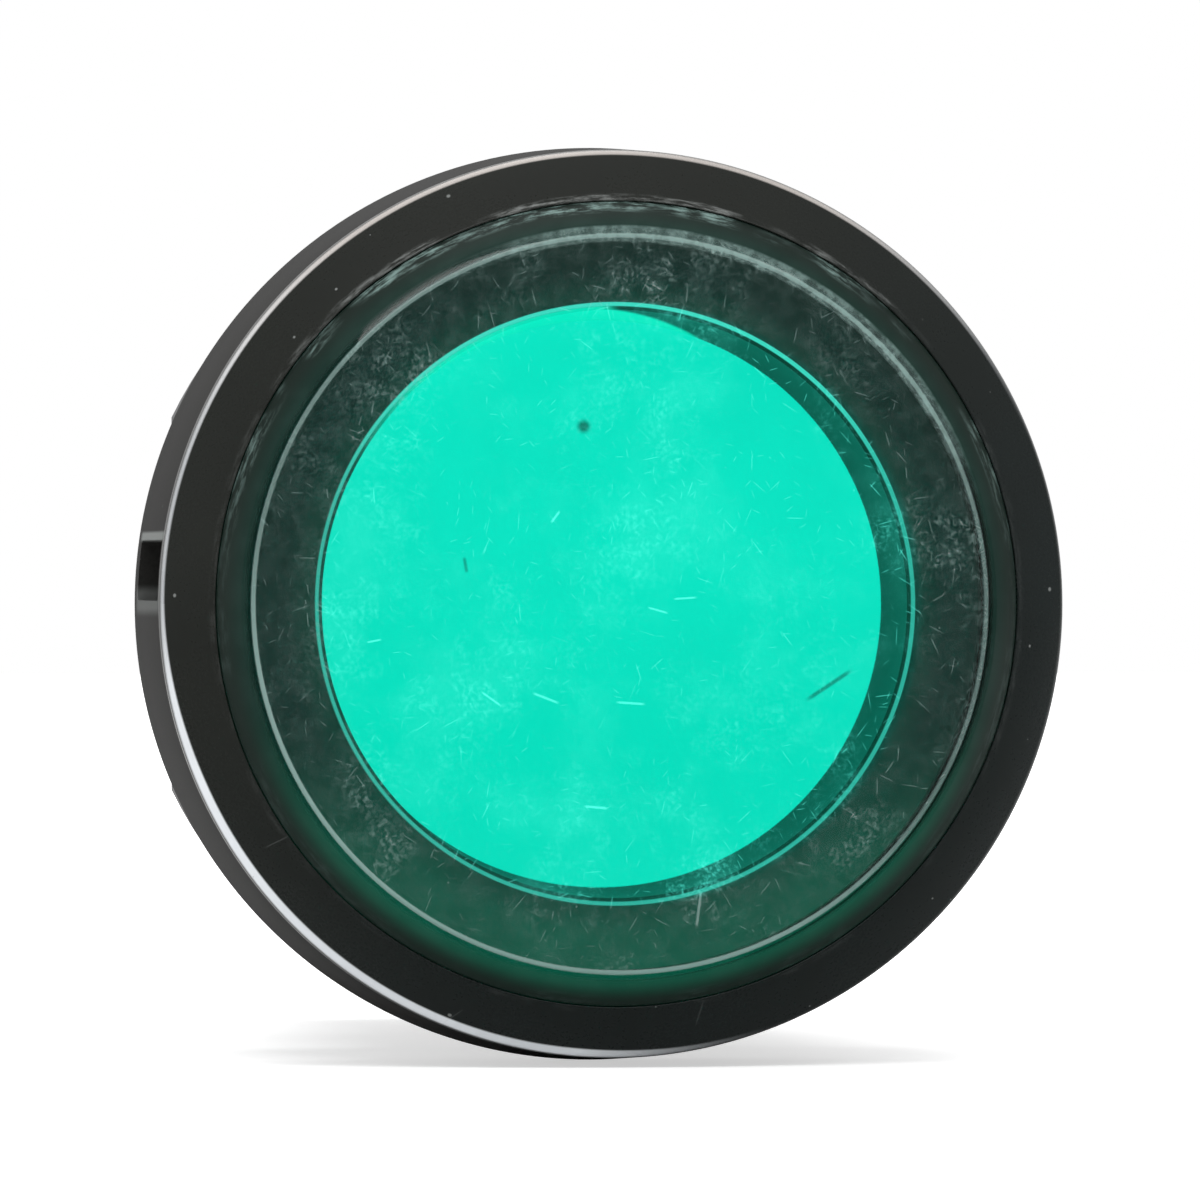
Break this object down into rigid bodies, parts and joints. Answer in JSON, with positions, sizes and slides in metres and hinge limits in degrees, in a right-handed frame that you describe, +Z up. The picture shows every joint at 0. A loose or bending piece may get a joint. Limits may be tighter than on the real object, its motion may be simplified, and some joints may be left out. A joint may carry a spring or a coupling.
{
  "type": "panel pilot light",
  "caption": "Round panel pilot light with a black sloped head, a lit green lens, a threaded barrel with a ring nut, and screw terminals at the rear.",
  "frame": {"origin": "centre of the panel hole on the front face of the panel", "axes": "-Y out of the lens towards the viewer, +Y along the barrel behind the panel, +Z up, +X to the viewer's right"},
  "size_m": [0.029, 0.0495, 0.029],
  "materials": {
    "black_gloss": "glossy, with dust",
    "green_lens": "clear green, polished, scratched",
    "seal_rubber": "matte",
    "smoky_collar": "satin",
    "lit_diffuser": "milky, lit",
    "white_board": "solder mask",
    "led_body": "satin",
    "brass": "bright",
    "green_board": "solder mask",
    "capacitor_box": "satin",
    "capacitor_can": "sleeved",
    "resistor_body": "lacquered",
    "chip_plastic": "matte",
    "black_matte": "satin",
    "plated_steel": "zinc plated",
    "clear_guard": "clear",
    "nut_plastic": "satin"
  },
  "bodies": {
    "housing": {"housing": "black_gloss", "lens": "green_lens", "lens_seal": "seal_rubber", "light_collar": "smoky_collar", "diffuser": "lit_diffuser", "led_board": "white_board", "leds": "led_body", "link_pins": "brass", "driver_board": "green_board", "film_capacitor": "capacitor_box", "smoothing_capacitor": "capacitor_can", "resistors": "resistor_body", "rectifier": "chip_plastic", "terminal_base": "black_matte", "terminal_plate_a": "brass", "terminal_plate_b": "brass", "terminal_guard": "clear_guard", "gasket": "seal_rubber"},
    "lock_washer": {"lock_washer": "plated_steel"},
    "ring_nut": {"ring_nut": "nut_plastic"},
    "wire_clamp_a": {"wire_clamp_a": "plated_steel"},
    "wire_clamp_b": {"wire_clamp_b": "plated_steel"},
    "terminal_screw_a": {"terminal_screw_a": "plated_steel"},
    "terminal_screw_b": {"terminal_screw_b": "plated_steel"}
  },
  "joints": [
    {"name": "nut_travel", "type": "slide", "parent": "housing", "child": "lock_washer", "axis": [0, 1, 0], "range_m": [-0.004, 0.01425]},
    {"name": "nut_turn", "type": "hinge", "parent": "lock_washer", "child": "ring_nut", "pos_m": [0, 0.008, 0], "axis": [0, 1, 0], "range_deg": [-960.5, 3420.5]},
    {"name": "clamp_a_travel", "type": "slide", "parent": "housing", "child": "wire_clamp_a", "axis": [0, 1, 0], "range_m": [0, 0.0025]},
    {"name": "screw_a_turn", "type": "hinge", "parent": "wire_clamp_a", "child": "terminal_screw_a", "pos_m": [0.0048, 0.0324, 0], "axis": [0, 1, 0], "range_deg": [0, 1800.5]},
    {"name": "clamp_b_travel", "type": "slide", "parent": "housing", "child": "wire_clamp_b", "axis": [0, 1, 0], "range_m": [0, 0.0025]},
    {"name": "screw_b_turn", "type": "hinge", "parent": "wire_clamp_b", "child": "terminal_screw_b", "pos_m": [-0.0048, 0.0324, 0], "axis": [0, 1, 0], "range_deg": [0, 1800.5]}
  ],
  "couplings": [
    {"joint": "nut_turn", "follows": "nut_travel", "rad_per_m": 4188.8},
    {"joint": "screw_a_turn", "follows": "clamp_a_travel", "rad_per_m": 12566},
    {"joint": "screw_b_turn", "follows": "clamp_b_travel", "rad_per_m": 12566}
  ]
}
